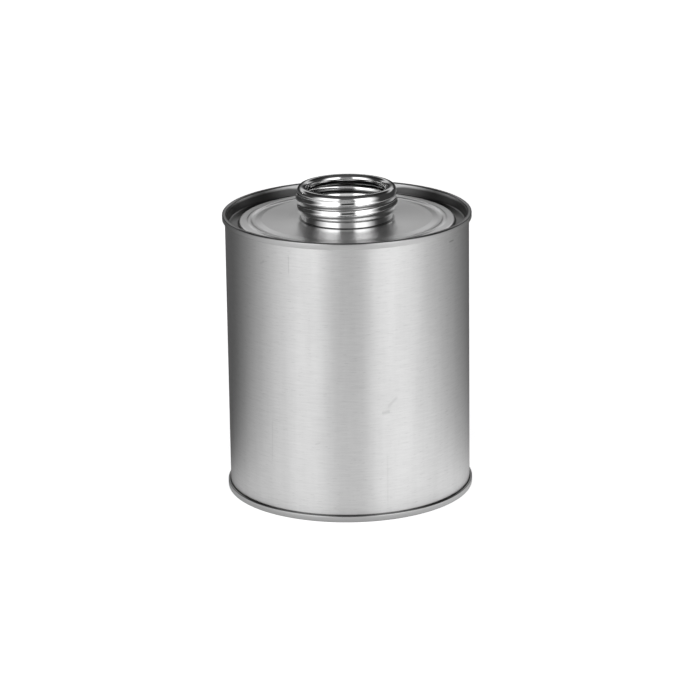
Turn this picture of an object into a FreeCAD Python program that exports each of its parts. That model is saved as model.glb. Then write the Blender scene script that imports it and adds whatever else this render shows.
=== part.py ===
import FreeCAD, Part
import math
import os
import Sketcher

# A one-quart tinplate can with a screw neck: a rolled body, two double-seamed ends,
# a threaded neck held by the top end, and the compound that seals the joints.
# Millimetres, +Z up. The origin is the centre of the ring that the can stands on.

DIMENSIONS = {
    # over the whole can
    "seam_radius": 54.0,
    "can_height": 123.8,
    "top_seam_height": 2.8,
    "base_seam_height": 3.0,
    # sheets
    "body_radius": 52.84,
    "body_gauge": 0.25,
    "end_gauge": 0.28,
    "neck_gauge": 0.30,
    # double seam: the hooks of body and end lie one inside the other, a little apart
    "wall_gap": 0.04,
    "seam_gap": 0.115,
    "rim_bend": 0.64,
    "hook_bend": 0.50,
    "body_hook_bend": 0.49,
    "body_top_depth": 0.55,
    "body_hook_rest": 0.62,
    "cover_hook_depth": 1.05,
    # ends: panel, step, raised ring, shoulder, groove and chuck wall
    "panel_depth": 3.0,
    "step_radius": 37.0,
    "step_run": 2.6,
    "step_drop": 0.40,
    "ring_radius": 42.2,
    "ring_width": 2.4,
    "ring_crown": 1.0,
    "ring_rise": 0.30,
    "shoulder_radius": 46.6,
    "shoulder_slope": 0.35,
    "groove_radius": 51.6,
    "groove_depth": 5.0,
    "soft_bend": 0.80,
    # expansion rings of the base
    "base_ring_inner": 14.0,
    "base_ring_outer": 26.0,
    # neck
    "neck_radius": 21.45,
    "foot_radius": 19.9,
    "neck_bore_radius": 17.05,
    "neck_height": 135.35,
    "lip_width": 4.40,
    "lip_bend": 2.0,
    "lip_tail": 2.9,
    "shoulder_top": 124.6,
    "shoulder_foot": 123.7,
    "shoulder_bend": 0.60,
    "foot_bend": 0.45,
    "flange_radius": 18.45,
    "flange_gap": 0.06,
    # rolled thread, a hollow ridge pressed out of the neck's wall
    "thread_radius": 22.22,
    "thread_pitch": 4.233,
    "thread_turns": 1.55,
    "thread_start": 126.04,
    "thread_bearing": 180.0,
    "thread_root_inset": 0.15,
    "thread_root_half": 1.35,
    "thread_crest_half": 0.50,
    "thread_hollow_inset": 0.15,
    # collar: the panel's edge, drawn up through the neck's flange and flared over it
    "collar_radius": 17.95,
    "collar_bend": 0.45,
    "flare_foot": 121.6,
    "flare_bend": 0.80,
    "flare_radius": 19.6,
    "flare_top": 126.4,
    # lap weld of the body, at the back
    "weld_width": 1.2,
    "weld_proud": 0.07,
    "weld_margin": 0.3,
    # sealing compound: a flat ring in each seam's fold and one on the neck's flange
    "compound_gap": 0.02,
    "compound_middle": 53.15,
    "compound_width": 0.42,
    "compound_gauge": 0.21,
    "bead_radius": 18.5,
    "bead_width": 0.9,
    "bead_gauge": 0.5,
}


def make_sheet_of_sizes(doc):
    """Put every driving dimension in a cell of its own, with its name as alias."""
    table = doc.addObject("Spreadsheet::Sheet", "Sizes")
    for row, (name, value) in enumerate(DIMENSIONS.items(), start=1):
        table.set(f"A{row}", name)
        table.set(f"B{row}", str(value))
        table.setAlias(f"B{row}", name)
    return table


class Size:
    """A length that knows both its value and the expression that gives it."""

    def __init__(self, value, text):
        self.value = value
        self.text = text

    @staticmethod
    def of(thing):
        return thing if isinstance(thing, Size) else Size(float(thing), str(thing))

    def __add__(self, other):
        other = Size.of(other)
        return Size(self.value + other.value, f"({self.text} + {other.text})")

    def __sub__(self, other):
        other = Size.of(other)
        return Size(self.value - other.value, f"({self.text} - {other.text})")

    def __rsub__(self, other):
        return Size.of(other) - self

    def __mul__(self, other):
        other = Size.of(other)
        return Size(self.value * other.value, f"({self.text} * {other.text})")


def size(name):
    return Size(DIMENSIONS[name], f"Sizes.{name}")


def bind(thing, prop, length):
    """Drive one property by an expression."""
    thing.setExpression(prop, Size.of(length).text)


def hold_point(sketch, geometry, point, corner):
    """Fix a sketch point at a corner (radius, height) with two driven dimensions."""
    for kind, length in (("DistanceX", corner[0]), ("DistanceY", corner[1])):
        length = Size.of(length)
        index = sketch.addConstraint(
            Sketcher.Constraint(kind, -1, 1, geometry, point, length.value))
        sketch.setExpression(f"Constraints[{index}]", length.text)


def rounded_corner(before, corner, after, radius):
    """Where an arc of this radius leaves and meets the two runs of a corner."""
    back = (before - corner).normalize()
    ahead = (after - corner).normalize()
    half = math.acos(max(-1.0, min(1.0, back.dot(ahead)))) / 2
    reach = radius / math.tan(half)
    middle = (back + ahead).normalize()
    centre = corner + middle * (radius / math.sin(half))
    apex = centre - middle * radius
    return corner + back * reach, apex, corner + ahead * reach


def trace(doc, name, corners):
    """Sketch an open outline through corners (radius, height, bend), in the XZ plane.

    The runs are straight, and every inner corner is rounded by an arc of its bend.
    """
    sketch = doc.addObject("Sketcher::SketchObject", name)
    sketch.Placement = FreeCAD.Placement(
        FreeCAD.Vector(0, 0, 0), FreeCAD.Rotation(FreeCAD.Vector(1, 0, 0), 90))
    spots = [FreeCAD.Vector(Size.of(x).value, Size.of(z).value, 0) for x, z, _ in corners]
    bends = []
    for index in range(1, len(spots) - 1):
        bend = Size.of(corners[index][2]).value
        bends.append(rounded_corner(*spots[index - 1:index + 2], bend))
    starts = [spots[0]] + [bend[2] for bend in bends]
    ends = [bend[0] for bend in bends] + [spots[-1]]
    runs = []
    for start, end in zip(starts, ends):
        runs.append(sketch.addGeometry(Part.LineSegment(start, end)))
    for index, (enter, apex, leave) in enumerate(bends):
        arc = sketch.addGeometry(Part.Arc(enter, apex, leave))
        turn = (spots[index + 1] - spots[index]).cross(spots[index + 2] - spots[index + 1]).z
        first, last = (1, 2) if turn > 0 else (2, 1)
        corner = sketch.addGeometry(Part.Point(spots[index + 1]), True)
        hold_point(sketch, corner, 1, corners[index + 1][:2])
        sketch.addConstraint([
            Sketcher.Constraint("PointOnObject", corner, 1, runs[index]),
            Sketcher.Constraint("PointOnObject", corner, 1, runs[index + 1]),
            Sketcher.Constraint("Tangent", runs[index], 2, arc, first),
            Sketcher.Constraint("Tangent", arc, last, runs[index + 1], 1),
        ])
        bend = Size.of(corners[index + 1][2])
        radius = sketch.addConstraint(Sketcher.Constraint("Radius", arc, bend.value))
        sketch.setExpression(f"Constraints[{radius}]", bend.text)
    hold_point(sketch, runs[0], 1, corners[0][:2])
    hold_point(sketch, runs[-1], 2, corners[-1][:2])
    return sketch


def spun_sheet(doc, name, corners, gauge):
    """Spin a sheet about the axis of the can.

    The outline is one face of the sheet. A positive gauge lies on the left of it.
    """
    outline = trace(doc, name + "_outline", corners)
    section = doc.addObject("Part::Offset2D", name + "_section")
    section.Source = outline
    section.Mode = "Skin"
    section.Join = "Arc"
    section.Fill = True
    section.Value = gauge.value
    bind(section, "Value", gauge)
    spun = doc.addObject("Part::Revolution", name)
    spun.Source = section
    spun.Axis = FreeCAD.Vector(0, 0, 1)
    spun.Base = FreeCAD.Vector(0, 0, 0)
    spun.Angle = 360
    spun.Solid = True
    return spun


def raised_ring(radius, width, crown, low, high):
    """The four corners of a ring pressed up (or down) out of a flat panel."""
    bend = size("soft_bend")
    return [
        (radius - width * 0.5, low, bend),
        (radius - crown * 0.5, high, bend),
        (radius + crown * 0.5, high, bend),
        (radius + width * 0.5, low, bend),
    ]


def end_rim(level, seam_height):
    """Corners of an end from its panel's edge out to the tip of the cover hook."""
    chuck_radius = size("body_radius") - size("body_gauge") - size("wall_gap") - size("end_gauge")
    hook_radius = (size("seam_radius") - size("end_gauge") * 2 - size("seam_gap") * 2
                   - size("body_gauge"))
    low = level(size("panel_depth") + size("step_drop"))
    high = level(size("panel_depth") + size("step_drop") - size("ring_rise"))
    soft = size("soft_bend")
    return [
        (size("step_radius"), level(size("panel_depth")), soft),
        (size("step_radius") + size("step_run"), low, soft),
        *raised_ring(size("ring_radius"), size("ring_width"), size("ring_crown"), low, high),
        (size("shoulder_radius"), low, soft),
        (size("shoulder_radius") + size("shoulder_slope"), level(size("groove_depth")), soft),
        (size("groove_radius"), level(size("groove_depth")), soft),
        (chuck_radius, level(0), size("rim_bend")),
        (size("seam_radius"), level(0), size("rim_bend")),
        (size("seam_radius"), level(seam_height), size("hook_bend")),
        (hook_radius, level(seam_height), size("hook_bend")),
        (hook_radius, level(size("cover_hook_depth")), None),
    ]


def below_top(depth):
    return size("can_height") - depth


def above_base(depth):
    return Size.of(depth)


def make_top_end(doc):
    """Top end: a flared collar inside the neck, the stepped panel, groove and hook."""
    collar = size("collar_radius")
    corners = [
        (size("flare_radius"), size("flare_top"), None),
        (collar, size("flare_foot"), size("flare_bend")),
        (collar, below_top(size("panel_depth")), size("collar_bend")),
        *end_rim(below_top, size("top_seam_height")),
    ]
    return spun_sheet(doc, "top_end", corners, size("end_gauge") * -1)


def make_base_end(doc):
    """Base end: the same tooling, closed, with two expansion rings."""
    low = above_base(size("panel_depth"))
    high = above_base(size("panel_depth") - size("ring_rise"))
    corners = [(Size.of(0), low, None)]
    for radius in (size("base_ring_inner"), size("base_ring_outer")):
        corners += raised_ring(radius, size("ring_width"), size("ring_crown"), low, high)
    corners += end_rim(above_base, size("base_seam_height"))
    return spun_sheet(doc, "base_end", corners, size("end_gauge"))


def make_body(doc):
    """Body: a straight wall with a hook at each end and a lap weld up its back."""
    inner = size("body_radius") - size("body_gauge")
    hook = size("seam_radius") - size("end_gauge") - size("seam_gap")
    bend = size("body_hook_bend")
    corners = [
        (hook, below_top(size("top_seam_height") - size("body_hook_rest")), None),
        (hook, below_top(size("body_top_depth")), bend),
        (inner, below_top(size("body_top_depth")), bend),
        (inner, above_base(size("body_top_depth")), bend),
        (hook, above_base(size("body_top_depth")), bend),
        (hook, above_base(size("base_seam_height") - size("body_hook_rest")), None),
    ]
    wall = spun_sheet(doc, "body_wall", corners, size("body_gauge"))
    foot = size("base_seam_height") + size("weld_margin")
    weld = doc.addObject("Part::Box", "weld_bead")
    bind(weld, "Length", size("weld_width"))
    bind(weld, "Width", size("body_gauge") + size("weld_proud") * 2)
    bind(weld, "Height",
         size("can_height") - size("top_seam_height") - size("weld_margin") - foot)
    bind(weld, "Placement.Base.x", size("weld_width") * -0.5)
    bind(weld, "Placement.Base.y", inner - size("weld_proud"))
    bind(weld, "Placement.Base.z", foot)
    body = doc.addObject("Part::Fuse", "body_shell")
    body.Base = wall
    body.Tool = weld
    return body


def swept_ridge(doc, name, root, crest, root_half, crest_half):
    """Sweep a trapezium along the thread's helix."""
    start = size("thread_start")
    turned = size("thread_bearing")
    bearing = FreeCAD.Rotation(FreeCAD.Vector(0, 0, 1), turned.value)
    helix = doc.addObject("Part::Helix", name + "_path")
    bind(helix, "Pitch", size("thread_pitch"))
    bind(helix, "Height", size("thread_pitch") * size("thread_turns"))
    bind(helix, "Radius", size("neck_radius"))
    helix.Placement = FreeCAD.Placement(FreeCAD.Vector(0, 0, start.value), bearing)
    bind(helix, "Placement.Base.z", start)
    bind(helix, "Placement.Rotation.Angle", turned)
    section = doc.addObject("Sketcher::SketchObject", name + "_section")
    upright = FreeCAD.Rotation(FreeCAD.Vector(1, 0, 0), 90)
    section.Placement = FreeCAD.Placement(FreeCAD.Vector(0, 0, 0), bearing * upright)
    corners = [
        (root, start - root_half),
        (crest, start - crest_half),
        (crest, start + crest_half),
        (root, start + root_half),
    ]
    spots = [FreeCAD.Vector(x.value, z.value, 0) for x, z in corners]
    for index in range(len(spots)):
        section.addGeometry(Part.LineSegment(spots[index], spots[(index + 1) % len(spots)]))
    for index, corner in enumerate(corners):
        following = (index + 1) % len(corners)
        section.addConstraint(Sketcher.Constraint("Coincident", index, 2, following, 1))
        hold_point(section, index, 1, corner)
    ridge = doc.addObject("Part::Sweep", name)
    ridge.Sections = [section]
    ridge.Spine = (helix, [])
    ridge.Solid = True
    ridge.Frenet = True
    return ridge


def make_neck(doc):
    """Neck: a curled lip, a rolled thread, a shoulder and a flange turned inwards."""
    outer = size("neck_radius")
    narrow = size("foot_radius")
    bore = size("neck_bore_radius")
    top = size("neck_height")
    gauge = size("neck_gauge")
    lip = size("lip_bend")
    shoulder = size("shoulder_bend")
    foot = below_top(size("panel_depth")) + size("flange_gap")
    corners = [
        (bore + size("lip_tail"), top - size("lip_width"), None),
        (bore, top - size("lip_width"), lip),
        (bore, top, lip),
        (outer, top, lip),
        (outer, size("shoulder_top"), shoulder),
        (narrow, size("shoulder_foot"), shoulder),
        (narrow, foot, size("foot_bend")),
        (size("flange_radius"), foot, None),
    ]
    wall = spun_sheet(doc, "neck_wall", corners, gauge * -1)
    crest = size("thread_radius")
    ridge = swept_ridge(
        doc, "thread_ridge", outer - size("thread_root_inset"), crest,
        size("thread_root_half"), size("thread_crest_half"))
    inset = size("thread_hollow_inset")
    hollow = swept_ridge(
        doc, "thread_hollow", outer - size("thread_root_inset") - gauge, crest - gauge,
        size("thread_root_half") - inset, size("thread_crest_half") - inset)
    threaded = doc.addObject("Part::Fuse", "neck_with_ridge")
    threaded.Base = wall
    threaded.Tool = ridge
    neck = doc.addObject("Part::Cut", "screw_neck")
    neck.Base = threaded
    neck.Tool = hollow
    return neck


def make_ring(doc, name, inner, width, foot, height):
    """A plain ring of rectangular section about the can's axis."""
    disc = doc.addObject("Part::Cylinder", name + "_disc")
    hole = doc.addObject("Part::Cylinder", name + "_hole")
    for cylinder, radius in ((disc, inner + width), (hole, inner)):
        bind(cylinder, "Radius", radius)
        bind(cylinder, "Height", height)
        bind(cylinder, "Placement.Base.z", foot)
    ring = doc.addObject("Part::Cut", name)
    ring.Base = disc
    ring.Tool = hole
    return ring


def make_seam_compounds(doc):
    """Rubbery compound in the fold of each double seam, between end and body hook."""
    inner = size("compound_middle") - size("compound_width") * 0.5
    depth = size("end_gauge") + size("compound_gap")
    gauge = size("compound_gauge")
    feet = {"top_seam_compound": below_top(depth + gauge), "base_seam_compound": depth}
    return [make_ring(doc, name, inner, size("compound_width"), foot, gauge)
            for name, foot in feet.items()]


def make_neck_compound(doc):
    """Bead of compound in the pocket between the neck's flange and the flared collar."""
    foot = (below_top(size("panel_depth")) + size("flange_gap") + size("neck_gauge")
            + size("compound_gap"))
    return make_ring(doc, "neck_compound", size("bead_radius"), size("bead_width"), foot,
                     size("bead_gauge"))


def main():
    doc = FreeCAD.newDocument("quart_can")
    make_sheet_of_sizes(doc)
    doc.recompute()
    parts = [
        make_body(doc),
        make_top_end(doc),
        make_base_end(doc),
        make_neck(doc),
        *make_seam_compounds(doc),
        make_neck_compound(doc),
    ]
    for part in parts:
        part.Label = part.Name
    doc.recompute()
    for thing in doc.Objects:
        if "Invalid" in thing.State or "Error" in thing.State:
            raise RuntimeError(f"{thing.Name} did not compute: {thing.State}")
    for part in parts:
        if part.Shape.isNull() or not part.Shape.isValid():
            raise RuntimeError(f"{part.Label} has no valid shape")
    os.makedirs("parts", exist_ok=True)
    for part in parts:
        part.Shape.exportStep(f"parts/{part.Label}.step")
        box = part.Shape.optimalBoundingBox(False)
        print(f"{part.Label}: {len(part.Shape.Solids)} solid, {part.Shape.Volume:.1f} mm3, "
              f"z {box.ZMin:.2f} to {box.ZMax:.2f}, radius {box.XMax:.2f}")


main()
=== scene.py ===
# %% [markdown]
# # A quart can with a screw neck
#
# A tinplate can is all sheet metal: a rolled body, two pressed ends folded onto it in
# double seams, and a drawn neck with a rolled thread. The CAD model already has every
# sheet at its true size. Here the sheets that show are made again as smooth meshes,
# because a mirror finish shows every flat facet, and each gets its own metal.

# %% Load the frame
import math

import bmesh
import bpy
from mathutils import Matrix, Vector, noise


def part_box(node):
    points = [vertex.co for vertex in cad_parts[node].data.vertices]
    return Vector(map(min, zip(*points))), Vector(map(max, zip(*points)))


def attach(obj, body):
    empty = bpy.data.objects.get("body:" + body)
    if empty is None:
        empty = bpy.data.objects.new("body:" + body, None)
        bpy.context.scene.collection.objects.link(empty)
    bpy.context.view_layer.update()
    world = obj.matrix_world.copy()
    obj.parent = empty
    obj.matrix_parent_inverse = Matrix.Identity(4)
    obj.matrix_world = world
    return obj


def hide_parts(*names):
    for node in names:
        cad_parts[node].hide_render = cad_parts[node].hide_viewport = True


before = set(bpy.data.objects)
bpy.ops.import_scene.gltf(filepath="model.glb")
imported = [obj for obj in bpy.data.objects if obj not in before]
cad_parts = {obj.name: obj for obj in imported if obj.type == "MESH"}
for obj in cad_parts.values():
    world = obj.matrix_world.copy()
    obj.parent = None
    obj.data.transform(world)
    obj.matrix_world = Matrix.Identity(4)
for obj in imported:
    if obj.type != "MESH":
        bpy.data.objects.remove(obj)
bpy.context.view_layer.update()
MM = 0.001
print("CAD nodes:", sorted(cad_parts))

# %% [markdown]
# ## Sizes from the frame
#
# Every sheet is round, so its place follows from the boxes of the CAD nodes: the rim's
# radius from the top end, its height from the body's hook, and the thread's crest and the
# lip's height from the neck. The gauges and the little bends are a can maker's own numbers.

# %% Sizes
top_low, top_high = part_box("top_end")
base_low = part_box("base_end")[0]
neck_low, neck_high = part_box("screw_neck")
wall_low, wall_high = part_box("body_shell")

rim_radius = (top_high.y - top_low.y) / 2
hook_depth = 0.55 * MM
rim_height = wall_high.z + hook_depth
lip_height = neck_high.z
thread_crest = (neck_high.x - neck_low.x) / 2
body_gauge = 0.25 * MM
end_gauge = 0.28 * MM
neck_gauge = 0.30 * MM
hook_gap = 0.115 * MM
wall_radius = rim_radius - 2 * end_gauge - body_gauge - 3 * hook_gap
chuck_gap = 0.04 * MM
chuck_radius = wall_radius - body_gauge - chuck_gap - end_gauge
thread_depth = 0.77 * MM
foot_step = 1.55 * MM
lip_width = 4.40 * MM
neck_radius = thread_crest - thread_depth
foot_radius = neck_radius - foot_step
bore_radius = neck_radius - lip_width
seam_heights = {"top": 2.8 * MM, "base": 3.0 * MM}
panel_depth = 3.0 * MM
groove_depth = 5.0 * MM
panel_height = rim_height - panel_depth
print(f"rim radius {rim_radius / MM:.2f} mm, wall {wall_radius / MM:.2f} mm, "
      f"neck {neck_radius / MM:.2f} mm, crest {thread_crest / MM:.2f} mm")

# %% [markdown]
# ## Helpers for spun sheets
#
# A press or a spinning tool makes shapes that are round about one axis. So each sheet
# starts as a chain of a few corner points in the plane y = 0. A vertex bevel rounds each
# corner to its bend, a spin turns the chain into a skin, and solidify gives the skin
# its gauge. That is how the real sheet is made too: flat, then bent, then round.

# %% Outline of a sheet
SPIN_STEPS = 192
BEND_STEP = math.radians(11)
UPRIGHT_WITHIN = 0.05 * MM
MERGE_WITHIN = 0.002 * MM
SHARP_ANGLE = math.radians(50)


def outline(bm, corners):
    """Join corners (radius, height, bend) with edges and round each bend."""
    spots = [bm.verts.new((radius, 0, height)) for radius, height, _ in corners]
    for pair in zip(spots, spots[1:]):
        bm.edges.new(pair)
    points = [Vector((radius, height)) for radius, height, _ in corners]
    for index in range(1, len(corners) - 1):
        bend = corners[index][2]
        arriving = points[index] - points[index - 1]
        leaving = points[index + 1] - points[index]
        turn = arriving.angle(leaving)
        if bend:
            bmesh.ops.bevel(
                bm, geom=[spots[index]], offset=bend * math.tan(turn / 2),
                offset_type="OFFSET", segments=max(2, round(turn / BEND_STEP)),
                profile=0.5, affect="VERTICES", material=-1)


def divide_wall(bm, low, high, shortest, cuts):
    """Cut the outline's long upright edges between two heights into short ones."""
    wall = [edge for edge in bm.edges
            if all(low <= vert.co.z <= high for vert in edge.verts)
            and abs(edge.verts[0].co.x - edge.verts[1].co.x) < UPRIGHT_WITHIN
            and edge.calc_length() > shortest]
    bmesh.ops.subdivide_edges(bm, edges=wall, cuts=cuts)


# %% Spin, face outwards, thicken
def spin_skin(bm):
    """Turn the outline a full turn about the can's axis."""
    bmesh.ops.spin(
        bm, geom=bm.verts[:] + bm.edges[:], cent=(0, 0, 0), axis=(0, 0, 1),
        dvec=(0, 0, 0), angle=math.tau, steps=SPIN_STEPS, use_merge=True)
    bmesh.ops.remove_doubles(bm, verts=bm.verts, dist=MERGE_WITHIN)
    bmesh.ops.recalc_face_normals(bm, faces=bm.faces)


def face_towards(bm, near, direction):
    """Turn the whole skin round if its face nearest a point looks the wrong way."""
    nearest = min(bm.faces, key=lambda face: (face.calc_center_median() - near).length)
    if nearest.normal.dot(direction) < 0:
        bmesh.ops.reverse_faces(bm, faces=bm.faces)


def finish_piece(bm, name, material, slot, *nodes):
    """Mark sheared edges sharp, write the mesh, and hang it on the frame."""
    for face in bm.faces:
        face.smooth = True
    for edge in bm.edges:
        edge.smooth = len(edge.link_faces) != 2 or edge.calc_face_angle() < SHARP_ANGLE
    mesh = bpy.data.meshes.new(name)
    bm.to_mesh(mesh)
    closed = all(len(edge.link_faces) == 2 for edge in bm.edges)
    triangles = sum(len(face.verts) - 2 for face in bm.faces)
    bm.free()
    piece = bpy.data.objects.new(name, mesh)
    bpy.context.scene.collection.objects.link(piece)
    mesh.materials.append(material)
    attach(piece, "root")
    if nodes:
        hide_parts(*nodes)
    print(f"{name}: {triangles} triangles, closed {closed}")


# %% [markdown]
# ## Helpers for materials
#
# A finish is arithmetic on positions: where grain runs, where a rub has dulled the
# metal. Writing that with nodes alone is hard to read, so a small class wraps a socket
# and lets Python's own signs add the Math nodes.

# %% Shader arithmetic
class Wire:
    """A socket that carries a number, and that Python's signs can add nodes to."""

    def __init__(self, shader, socket):
        self.shader = shader
        self.socket = socket

    def math(self, operation, *others):
        return self.shader.math(operation, self, *others)

    def __add__(self, other):
        return self.math("ADD", other)

    def __sub__(self, other):
        return self.math("SUBTRACT", other)

    def __mul__(self, other):
        return self.math("MULTIPLY", other)

    def __rsub__(self, other):
        return self.shader.math("SUBTRACT", other, self)

    __radd__ = __add__
    __rmul__ = __mul__


class Shader:
    """The node tree of one material or world, built by name."""

    def __init__(self, owner):
        owner.use_nodes = True
        self.tree = owner.node_tree
        self.tree.nodes.clear()

    def node(self, kind, settings=None, values=None):
        """Add a node: settings first, then the values or links of its sockets."""
        made = self.tree.nodes.new(kind)
        for name, value in (settings or {}).items():
            setattr(made, name, value)
        for name, value in (values or {}).items():
            target = made.inputs[name]
            if isinstance(value, Wire):
                value = value.socket
            if isinstance(value, bpy.types.NodeSocket):
                self.tree.links.new(value, target)
            else:
                target.default_value = value
        return made

    def math(self, operation, *inputs):
        made = self.node("ShaderNodeMath", {"operation": operation},
                         dict(enumerate(inputs)))
        return Wire(self, made.outputs[0])

    def surface(self, values):
        """The one surface shader, joined to the output."""
        made = self.node("ShaderNodeBsdfPrincipled", None, values)
        self.node("ShaderNodeOutputMaterial", None, {"Surface": made.outputs["BSDF"]})
        return made

    def step(self, value, low, high):
        """0 below low, 1 above high, and a smooth rise between."""
        made = self.node(
            "ShaderNodeMapRange", {"interpolation_type": "SMOOTHSTEP"},
            {"Value": value, "From Min": low, "From Max": high})
        return Wire(self, made.outputs["Result"])

    def noise(self, vector, scale, detail=2.0, rough=0.5):
        made = self.node("ShaderNodeTexNoise", None, {
            "Vector": vector, "Scale": scale, "Detail": detail, "Roughness": rough})
        return Wire(self, made.outputs["Fac"])

    def vector(self, x, y, z):
        return self.node("ShaderNodeCombineXYZ", None, {"X": x, "Y": y, "Z": z}).outputs[0]

    def blend(self, factor, first, second):
        """Mix two greys or colours by a factor."""
        made = self.node("ShaderNodeMix", {"data_type": "RGBA"}, {"Factor": factor})
        for socket, value in ((made.inputs[6], first), (made.inputs[7], second)):
            if isinstance(value, bpy.types.NodeSocket):
                self.tree.links.new(value, socket)
            else:
                socket.default_value = value
        return made.outputs[2]


# %% [markdown]
# ## Places on a round can
#
# Grain, scuffs and weld heat follow the sheet, not the room. The sheet's own map is the
# way round (azimuth times radius) and the way up. Azimuth is 0 at the front, and its
# seam lies at the back, where the weld is.

# %% Map of the sheet
class SheetMap:
    """The way round, the way up and the distance from the axis, in metres."""

    def __init__(self, shader, radius):
        self.shader = shader
        self.position = shader.node("ShaderNodeTexCoord").outputs["Object"]
        parts = shader.node("ShaderNodeSeparateXYZ", None, {"Vector": self.position})
        x, y, z = (Wire(shader, parts.outputs[axis]) for axis in "XYZ")
        self.azimuth = shader.math("ARCTAN2", x, y * -1)
        self.around = self.azimuth * radius
        self.up = z
        self.out = shader.math("SQRT", x * x + y * y)

    def grain(self, along, across, seed):
        """Streaks: slow along the way round, quick across it."""
        vector = self.shader.vector(self.around * along, seed, self.up * across)
        return self.shader.noise(vector, 1.0, 3.0, 0.6)

    def rub(self, azimuth, height, length, width, tilt, strength):
        """A soft short stroke: its strength on its line and 0 away from it."""
        shader = self.shader
        across = self.around - math.radians(azimuth) * wall_radius
        rise = self.up - height
        cosine = math.cos(math.radians(tilt))
        sine = math.sin(math.radians(tilt))
        along_stroke = across * cosine + rise * sine
        off_stroke = rise * cosine - across * sine
        near = 1 - shader.step(shader.math("ABSOLUTE", off_stroke), 0.0, width)
        inside = 1 - shader.step(shader.math("ABSOLUTE", along_stroke),
                                 length * 0.3, length * 0.5)
        return near * inside * strength


def grey(level):
    return (level, level, level, 1.0)


UPWARD_SMEAR = 0.25


def metal(name, roughness, colour, anisotropy=0.0):
    """A metal's shader: its steady values, and the averages that feed then varies."""
    material = bpy.data.materials.new(name)
    shader = Shader(material)
    surface = shader.surface({
        "Base Color": grey(colour), "Metallic": 1.0, "Roughness": roughness,
        "Anisotropic": anisotropy, "Anisotropic Rotation": UPWARD_SMEAR})
    return material, shader, surface


def feed(shader, surface, colour, roughness, bumps):
    """Link what changes over a surface: colour, roughness and stacked bumps."""
    links = shader.tree.links
    links.new(colour, surface.inputs["Base Color"])
    links.new(roughness.socket, surface.inputs["Roughness"])
    below = {}
    for height, distance in bumps:
        bump = shader.node("ShaderNodeBump", None, {
            "Height": height, "Strength": 1.0, "Distance": distance, **below})
        below = {"Normal": bump.outputs["Normal"]}
    links.new(below["Normal"], surface.inputs["Normal"])


# %% [markdown]
# ## Tinplate of the body
#
# Tin is rolled onto the steel, so its surface has a fine grain round the can that
# smears every light upwards into a tall soft band. Storage leaves faint rubs. The
# grain's smear is the shader's anisotropy; the visible streaks are noise stretched
# round the can, in roughness, in a very small bump and in the grey itself.

# %% Body tinplate
RUBS = [
    # azimuth, height, length, width, tilt, strength
    (17.0, 48.3 * MM, 4.4 * MM, 1.5 * MM, 8, 0.7),
    (20.2, 52.6 * MM, 7.0 * MM, 1.1 * MM, 44, 0.4),
    (17.5, 18 * MM, 26 * MM, 0.6 * MM, 90, 0.18),
    (-15, 35 * MM, 3.0 * MM, 0.6 * MM, 20, 0.4),
    (-43, 112 * MM, 3.5 * MM, 0.8 * MM, 35, 0.4),
    (-28, 113 * MM, 10 * MM, 0.4 * MM, 90, 0.5),
    (-39, 33 * MM, 22 * MM, 0.6 * MM, 88, 0.25),
    (57, 117.5 * MM, 4.5 * MM, 0.6 * MM, 0, 1.0),
    (104, 66 * MM, 9.0 * MM, 0.7 * MM, 24, 0.5),
    (-112, 84 * MM, 14 * MM, 0.6 * MM, -12, 0.5),
    (-150, 40 * MM, 6.0 * MM, 0.8 * MM, 60, 0.5),
]


def body_tinplate():
    """Grained plate with rubs, and a painted shade line where it enters the base seam."""
    material, shader, surface = metal("body_tinplate", 0.33, 0.74, 0.75)
    sheet = SheetMap(shader, wall_radius)
    grain = sheet.grain(45, 2600, 0.0)
    dashes = sheet.grain(110, 1100, 7.0)
    bands = sheet.grain(160, 14, 11.0)
    clouds = shader.noise(sheet.position, 28.0, 3.0)
    rubbed = sheet.rub(*RUBS[0])
    for rub in RUBS[1:]:
        rubbed = shader.math("MAXIMUM", rubbed, sheet.rub(*rub))
    flecks = shader.step(sheet.grain(260, 2100, 19.0), 0.56, 0.72)
    seam_top = seam_heights["base"]
    # painted shade: a dark line just above where the wall enters the base seam
    painted_seam_shade = (1 - shader.step(sheet.up, seam_top, seam_top + 0.5 * MM)) * 0.5
    shade = 0.58 + dashes * 0.14 + bands * 0.12 + clouds * 0.08
    shade -= flecks * 0.10 + rubbed * 0.2 + painted_seam_shade
    colour = shader.blend(shade, grey(0.0), grey(1.0))
    roughness = 0.25 + grain * 0.08 + clouds * 0.06 + rubbed * 0.08
    bumps = [(clouds, 0.09 * MM), (grain, 0.004 * MM), (rubbed, -0.03 * MM)]
    feed(shader, surface, colour, roughness, bumps)
    return material
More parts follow.
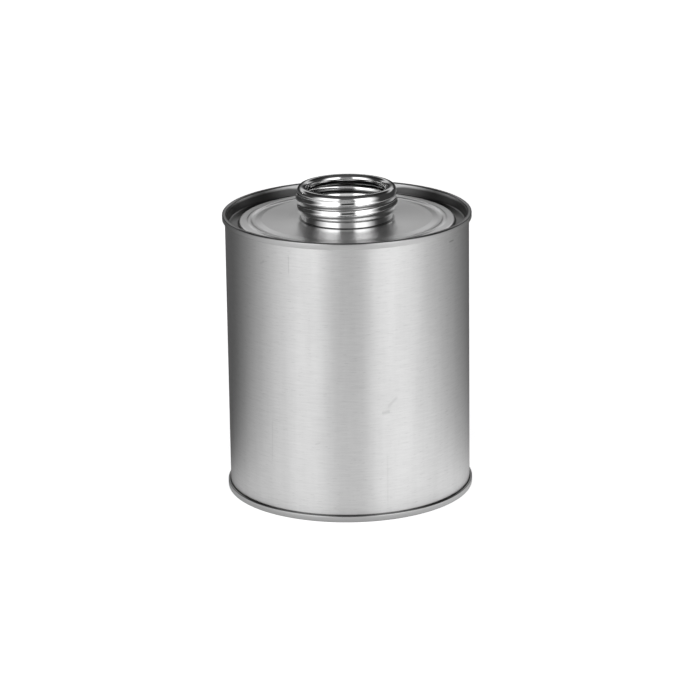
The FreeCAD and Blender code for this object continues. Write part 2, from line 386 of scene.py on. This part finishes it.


# %% [markdown]
# ## Tinplate of the ends and the neck
#
# The ends are brighter than the body, with fine circles left by the press tool, and the
# neck is drawn and rolled until it is nearly a mirror. Both keep a little unevenness,
# because a perfect mirror looks like glass. Their grey carries painted shade low in the
# groove, on the crests and face of the rim, on the lip, inside the neck below the curl
# and where sheets meet, and a painted highlight on the collar inside the neck.

# %% End and neck tinplate
def end_tinplate():
    """Bright plate with press circles, painted shade where sheets meet, in the top's groove
    and on the rim, and a painted highlight on the collar.
    """
    material, shader, surface = metal("end_tinplate", 0.16, 0.72, 0.3)
    sheet = SheetMap(shader, 40 * MM)
    rings = shader.noise(shader.vector(sheet.out * 1500, sheet.azimuth * 0.6, sheet.up * 900),
                         1.0, 2.0)
    clouds = shader.noise(sheet.position, 45.0, 3.0)
    specks = shader.step(shader.noise(sheet.position, 900.0, 1.0), 0.74, 0.82)

    # painted shade low in the groove of the top end, and a little lower still at the very
    # back
    behind = shader.step(shader.math("COSINE", sheet.azimuth) * -1, 0.86, 0.97)
    painted_groove_shade = shader.step(sheet.out, 46.7 * MM, 47.0 * MM)
    painted_groove_shade *= 1 - shader.step(sheet.out, 52.9 * MM, 53.3 * MM)
    painted_groove_shade *= shader.step(sheet.up, 100 * MM, 110 * MM)
    painted_groove_shade *= 1 - shader.step(sheet.up + behind * 1.8 * MM, 121.9 * MM, 123.1 * MM)

    # painted shade on the panel close to the neck, at the top of the base seam, and on the
    # crest of the rim
    painted_contact_shade = shader.step(sheet.out, foot_radius - 0.3 * MM, foot_radius)
    painted_contact_shade *= 1 - shader.step(sheet.out, foot_radius + 0.2 * MM, foot_radius + 1.3 * MM)
    painted_contact_shade *= shader.step(sheet.up, panel_height - 0.8 * MM, panel_height - 0.3 * MM)
    painted_crevice_shade = shader.step(sheet.up, 2.5 * MM, 2.85 * MM)
    painted_crevice_shade *= shader.step(sheet.out, 53.0 * MM, 53.2 * MM)
    painted_crevice_shade *= 1 - shader.step(sheet.up, 4 * MM, 5 * MM)
    painted_crest_shade = shader.step(sheet.up, rim_height - 0.7 * MM, rim_height - 0.2 * MM)
    painted_crest_shade *= 1 - shader.step(sheet.up, rim_height + 0.2 * MM, rim_height + 0.4 * MM)
    # painted shade on the rim's outer face
    painted_rim_face_shade = shader.step(sheet.out, rim_radius - 0.5 * MM, rim_radius - 0.1 * MM)

    # the collar inside the neck is burnished smooth by its flaring, and its grey is also
    # raised as a painted highlight
    collar_polish_and_highlight = 1 - shader.step(sheet.out, foot_radius - 0.2 * MM, foot_radius - 0.1 * MM)
    collar_polish_and_highlight *= shader.step(sheet.up, panel_height + 0.1 * MM, panel_height + 0.7 * MM)

    shade = 0.66 + rings * 0.05 + clouds * 0.08 - specks * 0.12
    # painted shade darkens the groove, the base seam's top, the rim's crest and the panel at
    # the neck
    shade *= 1 - painted_groove_shade * 0.82 - painted_crevice_shade * 0.6 - painted_crest_shade * 0.72 - painted_contact_shade * 0.6
    shade *= 1 - painted_rim_face_shade * 0.14
    colour = shader.blend(shade + collar_polish_and_highlight * 0.2, grey(0.0), grey(1.0))
    roughness = 0.24 + rings * 0.06 + clouds * 0.06 + specks * 0.1 - collar_polish_and_highlight * 0.2
    feed(shader, surface, colour, roughness, [(clouds, 0.06 * MM), (rings, 0.002 * MM)])
    return material


def neck_tinplate():
    """Nearly a mirror, with painted shade at its foot, on its lip and inside below the curl.
    """
    material, shader, surface = metal("neck_tinplate", 0.08, 0.86)
    sheet = SheetMap(shader, neck_radius)
    rolled = sheet.grain(60, 5000, 3.0)
    clouds = shader.noise(sheet.position, 120.0, 2.0)
    # painted shade at the neck's foot, on the lip's crest and inside below the curl
    painted_contact_shade = 1 - shader.step(sheet.up, panel_height + 0.1 * MM, panel_height + 0.7 * MM)
    painted_lip_shade = shader.step(sheet.up, 134.4 * MM, 135.0 * MM)
    inside = 1 - shader.step(sheet.out, neck_radius - 0.07 * MM, neck_radius - 0.02 * MM)
    inside *= shader.step(sheet.up, 126.2 * MM, 126.6 * MM)
    inside *= 1 - shader.step(sheet.up, 128.3 * MM, 128.9 * MM)
    shade = 0.80 + rolled * 0.05 + clouds * 0.06
    shade *= 1 - painted_contact_shade * 0.7 - inside * 0.85 - painted_lip_shade * 0.5
    colour = shader.blend(shade, grey(0.0), grey(1.0))
    roughness = 0.05 + rolled * 0.05 + clouds * 0.03
    feed(shader, surface, colour, roughness, [(clouds, 0.03 * MM), (rolled, 0.002 * MM)])
    return material


def weld_metal():
    """Heat-tinted lap weld: dull steel with the ripple of its nuggets."""
    material, shader, surface = metal("weld_metal", 0.4, 0.5)
    sheet = SheetMap(shader, wall_radius)
    nugget_pitch = 1.1 * MM
    ripple = shader.math("SINE", sheet.up * (math.tau / nugget_pitch))
    clouds = shader.noise(sheet.position, 400.0, 3.0)
    colour = shader.blend(0.40 + ripple * 0.06 + clouds * 0.2, grey(0.0), grey(1.0))
    feed(shader, surface, colour, 0.32 + clouds * 0.2, [(ripple, 0.02 * MM)])
    return material


def dried_compound():
    """Pale rubbery compound, a little lumpy."""
    material = bpy.data.materials.new("dried_compound")
    shader = Shader(material)
    surface = shader.surface({"Roughness": 0.7})
    position = shader.node("ShaderNodeTexCoord").outputs["Object"]
    lumps = shader.noise(position, 600.0, 3.0)
    colour = shader.blend(lumps, (0.34, 0.32, 0.27, 1.0), (0.52, 0.5, 0.44, 1.0))
    feed(shader, surface, colour, 0.6 + lumps * 0.25, [(lumps, 0.03 * MM)])
    return material


BODY_METAL = body_tinplate()
END_METAL = end_tinplate()
NECK_METAL = neck_tinplate()
WELD_METAL = weld_metal()
COMPOUND = dried_compound()
print("materials:", [m.name for m in bpy.data.materials])

# %% [markdown]
# ## The body
#
# The body is one sheet with a hook turned at each end. The hooks are hidden in the
# seams, but the sheet is made whole, as it would be on a bench. The wall gets rows of
# points, so that it can have what a real rolled wall has: a slow unevenness of a few
# hundredths of a millimetre, longest in the upright direction, and one small dent.

# %% Body sheet
# the slow unevenness of the wall, and the heights between which it shows
WAVES = {"low": 5 * MM, "high": 119 * MM, "fade": 12 * MM, "depth": 0.05 * MM}
body_hook_radius = rim_radius - end_gauge - hook_gap
body_hook_rest = 0.62 * MM
body_top = wall_high.z
body_foot = wall_low.z
hook_bend = 0.49 * MM
DENT = {"azimuth": 17.5, "height": 49 * MM, "depth": 0.15 * MM, "reach": 2.4 * MM}


def around(point):
    """Azimuth of a point in radians, 0 at the front and growing to the right."""
    return math.atan2(point.x, -point.y)


def uneven_wall(bm):
    """Move the wall's points in or out a little, fading to nothing at the seams."""
    for vert in bm.verts:
        co = vert.co
        radius = math.hypot(co.x, co.y)
        if abs(radius - wall_radius) > 0.3 * MM:
            continue
        inside = min(co.z - WAVES["low"], WAVES["high"] - co.z)
        fade = min(1.0, max(0.0, inside / WAVES["fade"]))
        flow = noise.noise(Vector((co.x * 40, co.y * 40, co.z * 9)))
        push = WAVES["depth"] * flow * fade
        aside = (around(co) - math.radians(DENT["azimuth"])) * wall_radius
        away = math.hypot(aside, co.z - DENT["height"]) / DENT["reach"]
        push -= DENT["depth"] * math.exp(-away * away)
        co.x *= (radius + push) / radius
        co.y *= (radius + push) / radius


bm = bmesh.new()
outline(bm, [
    (body_hook_radius, rim_height - seam_heights["top"] + body_hook_rest, 0),
    (body_hook_radius, body_top, hook_bend),
    (wall_radius - body_gauge, body_top, hook_bend),
    (wall_radius - body_gauge, body_foot, hook_bend),
    (body_hook_radius, body_foot, hook_bend),
    (body_hook_radius, seam_heights["base"] - body_hook_rest, 0),
])
divide_wall(bm, body_foot, body_top, shortest=50 * MM, cuts=110)
spin_skin(bm)
face_towards(bm, Vector((wall_radius, 0, 60 * MM)), Vector((-1, 0, 0)))
uneven_wall(bm)
bmesh.ops.solidify(bm, geom=bm.faces[:], thickness=body_gauge)
finish_piece(bm, "body_wall", BODY_METAL, "body_tinplate", "body_shell")

# %% [markdown]
# ## The ends
#
# Both ends come off one press tool: a flat panel, a step down, a small raised ring, a
# deep groove that the seaming chuck fits, and the rim that folds over the body's edge.
# One list of corners serves both, measured from the rim; the base is the same list
# turned over. The top has a hole whose edge is drawn up and flared inside the neck, and
# the base has two expansion rings instead.

# %% End profile
soft = 0.8 * MM
step_drop = 0.40 * MM
ring_rise = 0.30 * MM
step_radius = 37.0 * MM
step_run = 2.6 * MM
ring_radius = 42.2 * MM
ring_foot = 1.2 * MM
ring_crown = 0.5 * MM
shoulder_radius = 46.6 * MM
shoulder_slope = 0.35 * MM
groove_radius = 51.6 * MM
rim_bend = 0.64 * MM
cover_hook_bend = 0.50 * MM
cover_hook_depth = 1.05 * MM
RINGS_OF_BASE = (14.0 * MM, 26.0 * MM)


def raised_ring(radius, low, high):
    """The four corners of a ring pressed out of a flat panel."""
    return [
        (radius - ring_foot, low, soft),
        (radius - ring_crown, high, soft),
        (radius + ring_crown, high, soft),
        (radius + ring_foot, low, soft),
    ]


def end_rim(level, seam_height):
    """Corners from the panel's step to the tip of the cover hook."""
    low = level(panel_depth + step_drop)
    high = level(panel_depth + step_drop - ring_rise)
    cover_hook = wall_radius + hook_gap
    return [
        (step_radius, level(panel_depth), soft),
        (step_radius + step_run, low, soft),
        *raised_ring(ring_radius, low, high),
        (shoulder_radius, low, soft),
        (shoulder_radius + shoulder_slope, level(groove_depth), soft),
        (groove_radius, level(groove_depth), soft),
        (chuck_radius, level(0), rim_bend),
        (rim_radius, level(0), rim_bend),
        (rim_radius, level(seam_height), cover_hook_bend),
        (cover_hook, level(seam_height), cover_hook_bend),
        (cover_hook, level(cover_hook_depth), 0),
    ]


def below_rim(depth):
    """Height of a place in the top end, from its depth under the rim."""
    return rim_height - depth


def above_foot(depth):
    """Height of a place in the base end, from its depth inside the foot."""
    return base_low.z + depth


# %% Top end
collar_radius = 17.95 * MM
collar_bend = 0.45 * MM
flare_radius = 19.6 * MM
flare_top = 126.4 * MM
flare_foot = 121.6 * MM
flare_bend = 0.8 * MM
bm = bmesh.new()
outline(bm, [
    (flare_radius, flare_top, 0),
    (collar_radius, flare_foot, flare_bend),
    (collar_radius, panel_height, collar_bend),
    *end_rim(below_rim, seam_heights["top"]),
])
spin_skin(bm)
face_towards(bm, Vector((30 * MM, 0, panel_height)), Vector((0, 0, 1)))
bmesh.ops.solidify(bm, geom=bm.faces[:], thickness=end_gauge)
finish_piece(bm, "top_panel", END_METAL, "end_tinplate", "top_end")

# %% Base end
bm = bmesh.new()
corners = [(0.0, above_foot(panel_depth), 0)]
for radius in RINGS_OF_BASE:
    corners += raised_ring(radius, above_foot(panel_depth),
                           above_foot(panel_depth - ring_rise))
outline(bm, corners + end_rim(above_foot, seam_heights["base"]))
spin_skin(bm)
face_towards(bm, Vector((30 * MM, 0, above_foot(panel_depth))), Vector((0, 0, -1)))
bmesh.ops.solidify(bm, geom=bm.faces[:], thickness=end_gauge)
finish_piece(bm, "base_panel", END_METAL, "end_tinplate", "base_end")

# %% [markdown]
# ## The neck
#
# The neck is a drawn cup with its bottom cut out. Its lip is curled inwards. Its foot
# steps in and ends in a flange that the panel's collar is flared over. A pair of rollers
# presses the thread out of the plain wall. So the mesh is made in the same order: an
# outline with a plain wall, rows of points up the wall, a spin, and then each point is
# rolled outwards by how near it lies to the helix. Solidify comes last, so that the
# thread shows inside as well.

# %% Neck sheet
# first, last and fade are degrees of travel round the neck from its front
THREAD = {
    "pitch": 4.233 * MM,
    "rise": 0.68 * MM,
    "width": 3.9 * MM,
    "front_height": 127.1 * MM,
    "first": -100.0,
    "last": 458.0,
    "fade": 42.0,
}


def smooth_rise(value):
    """0 below 0, 1 above 1, and a smooth rise between."""
    value = min(1.0, max(0.0, value))
    return value * value * (3 - 2 * value)


def thread_push(azimuth, height):
    """How far the roller pushes the wall out at a place, over all turns of the thread."""
    push = 0.0
    for turn in range(-1, 3):
        travel = azimuth + 360 * turn
        ends = smooth_rise((travel - THREAD["first"]) / THREAD["fade"])
        ends *= smooth_rise((THREAD["last"] - travel) / THREAD["fade"])
        centre = THREAD["front_height"] + THREAD["pitch"] * travel / 360
        offset = abs(height - centre) / (THREAD["width"] / 2)
        if offset < 1:
            push = max(push, ends * (0.5 + 0.5 * math.cos(math.pi * offset)))
    return push * THREAD["rise"]


def roll_thread(bm, wall_foot, wall_top):
    """Push the plain wall's points out along the helix."""
    for vert in bm.verts:
        co = vert.co
        radius = math.hypot(co.x, co.y)
        if abs(radius - neck_radius) > 0.2 * MM or not wall_foot < co.z < wall_top:
            continue
        push = thread_push(math.degrees(around(co)), co.z)
        co.x *= (radius + push) / radius
        co.y *= (radius + push) / radius


lip_bend = 2.0 * MM
lip_tail = 2.9 * MM
curl_foot = lip_height - lip_width
shoulder_top = 124.6 * MM
shoulder_foot = 123.7 * MM
shoulder_bend = 0.6 * MM
foot_bend = 0.45 * MM
flange_radius = 18.45 * MM
flange_gap = 0.06 * MM
foot_height = panel_height + flange_gap
plain_wall = (124 * MM, 134.2 * MM)
bm = bmesh.new()
outline(bm, [
    (bore_radius + lip_tail, curl_foot, 0),
    (bore_radius, curl_foot, lip_bend),
    (bore_radius, lip_height, lip_bend),
    (neck_radius, lip_height, lip_bend),
    (neck_radius, shoulder_top, shoulder_bend),
    (foot_radius, shoulder_foot, shoulder_bend),
    (foot_radius, foot_height, foot_bend),
    (flange_radius, foot_height, 0),
])
divide_wall(bm, *plain_wall, shortest=7 * MM, cuts=72)
spin_skin(bm)
face_towards(bm, Vector((neck_radius, 0, 130 * MM)), Vector((1, 0, 0)))
roll_thread(bm, *plain_wall)
bmesh.ops.solidify(bm, geom=bm.faces[:], thickness=neck_gauge)
finish_piece(bm, "threaded_neck", NECK_METAL, "neck_tinplate", "screw_neck")

# %% [markdown]
# ## The side weld
#
# The body's edges overlap a little at the back and are welded in one pass. What shows
# is a narrow dull line, slightly proud. Here it is a strip bent to the wall's radius,
# crowned along its middle and given a hair of thickness.

# %% Weld bead
weld_half = 0.6 * MM
weld_rise = 0.05 * MM
weld_gauge = 0.12 * MM
seam_gap = 0.3 * MM
weld_low = seam_heights["base"] + seam_gap
weld_high = rim_height - seam_heights["top"] - seam_gap
bm = bmesh.new()
bmesh.ops.create_grid(bm, x_segments=6, y_segments=120, size=1.0)
bmesh.ops.scale(bm, vec=(weld_half, (weld_high - weld_low) / 2, 1), verts=bm.verts)
bmesh.ops.rotate(bm, cent=(0, 0, 0), matrix=Matrix.Rotation(math.radians(90), 3, "X"),
                 verts=bm.verts)
bmesh.ops.translate(bm, vec=(0, wall_radius, (weld_high + weld_low) / 2), verts=bm.verts)
for vert in bm.verts:
    crown = weld_rise * math.cos(math.pi / 2 * vert.co.x / weld_half)
    vert.co.y = math.sqrt(wall_radius ** 2 - vert.co.x ** 2) + crown
face_towards(bm, Vector((0, wall_radius, 60 * MM)), Vector((0, 1, 0)))
bmesh.ops.solidify(bm, geom=bm.faces[:], thickness=weld_gauge)
finish_piece(bm, "side_weld", WELD_METAL, "body_tinplate", "body_shell")

# %% [markdown]
# ## Sealing compound
#
# The compound is hidden in the seams and between the neck's flange and the collar. Its
# CAD solids already have the right shape, so they only get their finish.

# %% Compound
for name in ("top_seam_compound", "base_seam_compound", "neck_compound"):
    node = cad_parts[name]
    node.data.materials.clear()
    node.data.materials.append(COMPOUND)
    print(name, "keeps its CAD mesh")

# %% [markdown]
# ## Camera
#
# A long lens about 1.4 m away looks down on the can and keeps its sides nearly
# parallel. The camera leans by under a degree.

# %% Camera
camera_data = bpy.data.cameras.new("camera")
camera_data.lens = 164.57
camera_data.sensor_width = 36.0
camera = bpy.data.objects.new("camera", camera_data)
bpy.context.scene.collection.objects.link(camera)
look_down = math.radians(17.257)
turn_left = math.radians(0.025)
lean = math.radians(-0.767)
turned = (Matrix.Rotation(-turn_left, 4, "Z")
          @ Matrix.Rotation(math.pi / 2 - look_down, 4, "X")
          @ Matrix.Rotation(lean, 4, "Z"))
camera_place = Vector((0.0, -1.33969, 0.47686))
camera.matrix_world = Matrix.Translation(camera_place) @ turned
bpy.context.scene.camera = camera
print("camera at", [round(v, 4) for v in camera_place])

# %% [markdown]
# ## Floor and light
#
# Bright metal has no colour of its own: it shows the room. Two tall soft boxes stand
# left and right of the camera and make the two bright bands. The room has a grey band
# behind and a weaker one in front, and is dark elsewhere. Its light comes from the world
# shader, as a function of bearing and height, so that the boxes can have soft edges. Two
# floors lie one on the other: the pale one takes the shadow and is left out of
# reflections, and the metal sees a grey one, lightest in front and near the can.

# %% Floors
def disc(name, material, radius):
    """A flat disc at the height of the can's foot, which isn't part of the can."""
    bm = bmesh.new()
    bmesh.ops.create_circle(bm, cap_ends=True, segments=96, radius=radius)
    mesh = bpy.data.meshes.new(name)
    bm.to_mesh(mesh)
    bm.free()
    made = bpy.data.objects.new(name, mesh)
    mesh.materials.append(material)
    bpy.context.scene.collection.objects.link(made)
    return made


floor_material = bpy.data.materials.new("pale_floor")
floor_shader = Shader(floor_material)
floor_shader.surface({
    "Base Color": grey(0.85), "Roughness": 0.9, "Specular IOR Level": 0.0,
    "Emission Color": grey(1.0), "Emission Strength": 0.78})
floor = disc("floor", floor_material, 12.0)
floor.visible_glossy = False

mirror_material = bpy.data.materials.new("grey_floor")
mirror_shader = Shader(mirror_material)
place = SheetMap(mirror_shader, 1.0)
front = mirror_shader.step(mirror_shader.math("COSINE", place.azimuth), -0.75, 0.6)
right = mirror_shader.step(mirror_shader.math("SINE", place.azimuth), 0.3, 0.95)
near = 1 - mirror_shader.step(place.out, 0.06, 0.34)
# painted shadow: the grey floor is darker under the can and just around it
shade = 0.6 + mirror_shader.step(place.out, rim_radius, rim_radius + 14 * MM) * 0.4
level = (0.10 + front * (0.60 + near * 0.10) + right * (0.15 + near * 0.12)) * shade
glow = mirror_shader.node("ShaderNodeEmission", None, {
    "Color": mirror_shader.blend(level, grey(0.0), grey(1.0)), "Strength": 1.0})
mirror_shader.node("ShaderNodeOutputMaterial", None, {"Surface": glow.outputs[0]})
grey_floor = disc("grey_floor", mirror_material, 3.0)
grey_floor.visible_camera = False
grey_floor.visible_diffuse = False
grey_floor.visible_shadow = False


# %% Glints
def small_lamp(name, azimuth, height, radiance):
    """A small lamp at the side, for the pin-sharp glints on the neck."""
    data = bpy.data.lights.new(name, "AREA")
    data.shape = "DISK"
    data.size = 0.05
    data.energy = radiance * math.pi * math.pi * (data.size / 2) ** 2
    lamp = bpy.data.objects.new(name, data)
    bearing = math.radians(azimuth)
    spot = Vector((math.sin(bearing) * 1.5, -math.cos(bearing) * 1.5, height))
    aim = (Vector((0, 0, rim_height)) - spot).to_track_quat("-Z", "Y")
    lamp.matrix_world = Matrix.Translation(spot) @ aim.to_matrix().to_4x4()
    lamp.visible_camera = False
    bpy.context.scene.collection.objects.link(lamp)
    print(name, "at azimuth", azimuth, "with radiance", radiance)


small_lamp("left_glint", -127, 0.55, 9.0)
small_lamp("right_glint", 150, 0.55, 9.0)

# %% The room and its soft boxes
world = bpy.data.worlds.new("room")
bpy.context.scene.world = world
room = Shader(world)
direction = room.node("ShaderNodeTexCoord").outputs["Generated"]
axes = room.node("ShaderNodeSeparateXYZ", None, {"Vector": direction})
across, ahead, height = (Wire(room, axes.outputs[axis]) for axis in "XYZ")
bearing = room.math("ARCTAN2", across, ahead * -1) * (180 / math.pi)
aside = room.math("ABSOLUTE", bearing)


def soft_box(side, rise, fall):
    """Brightness of a tall box: up from its inner edge, down at its outer edge."""
    return room.step(bearing * side, *rise) * (1 - room.step(bearing * side, *fall))


tall = 1 - room.step(height, 0.60, 0.84)
boxes = (soft_box(-1, (14, 26), (38, 93)) + soft_box(1, (15, 26), (38, 84))) * tall
backdrop = room.step(aside, 112, 150) * room.step(height, 0.21, 0.38)
backdrop *= 1 - room.step(height, 0.42, 0.57)
camera_side = (1 - room.step(aside, 14, 30)) * room.step(height, 0.24, 0.34)
camera_side *= 1 - room.step(height, 0.46, 0.60)
overhead = room.step(height, 0.78, 0.92)
level = 0.04 + boxes * 2.05 + backdrop * 1.02 + camera_side * 0.6 + overhead * 0.09
seen = room.node("ShaderNodeBackground", None, {"Color": grey(1.0), "Strength": level})
white = room.node("ShaderNodeBackground", None, {"Color": grey(1.0), "Strength": 1.0})
rays = room.node("ShaderNodeLightPath")
mixed = room.node("ShaderNodeMixShader", None, {
    0: rays.outputs["Is Camera Ray"], 1: seen.outputs[0], 2: white.outputs[0]})
room.node("ShaderNodeOutputWorld", None, {"Surface": mixed.outputs[0]})
bpy.context.scene.view_settings.view_transform = "Standard"
print("room:", len(room.tree.nodes), "nodes")
